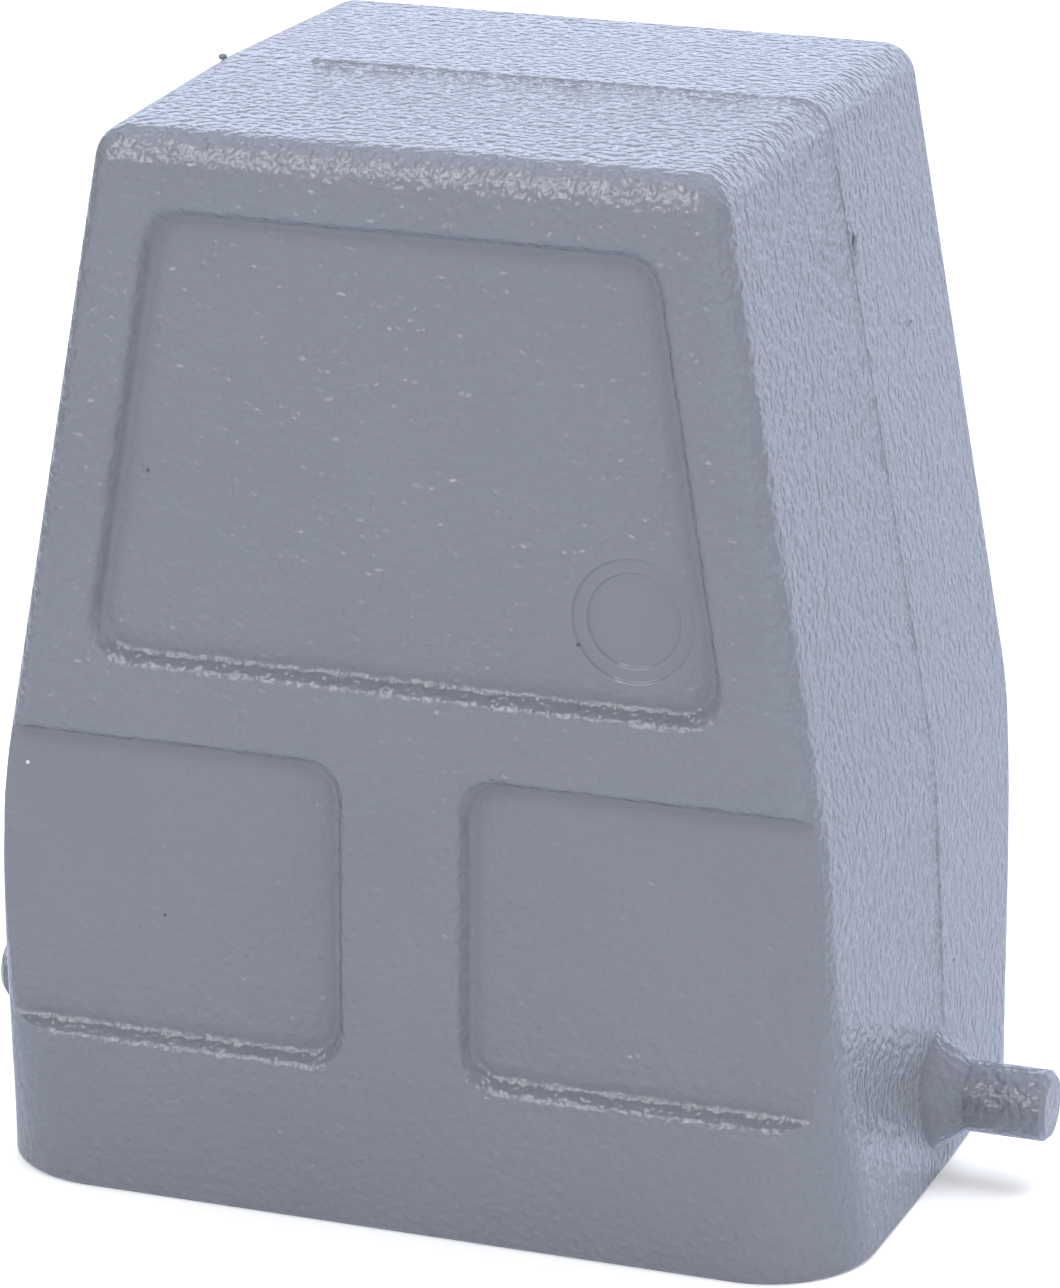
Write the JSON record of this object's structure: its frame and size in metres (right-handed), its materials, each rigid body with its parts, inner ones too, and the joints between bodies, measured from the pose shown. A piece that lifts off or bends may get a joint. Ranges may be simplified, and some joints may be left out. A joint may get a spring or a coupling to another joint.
{
  "type": "rectangular connector hood",
  "caption": "Die-cast cable hood of a rectangular connector: sloping ends, recessed long faces, tapped side cable entry, locking pegs and screw columns.",
  "frame": {"origin": "centre of the open rim, on the rim plane", "axes": "+X along the length towards the right peg, +Y towards the back face, +Z from the rim to the roof; the front face with the round dish is at -Y"},
  "size_m": [0.0746, 0.0436, 0.0715],
  "materials": {
    "grey_powder_coat": "semi-gloss grey powder coat with a fine orange peel over die-cast aluminium"
  },
  "bodies": {
    "root": {"hood_casting": "grey_powder_coat"}
  },
  "joints": []
}
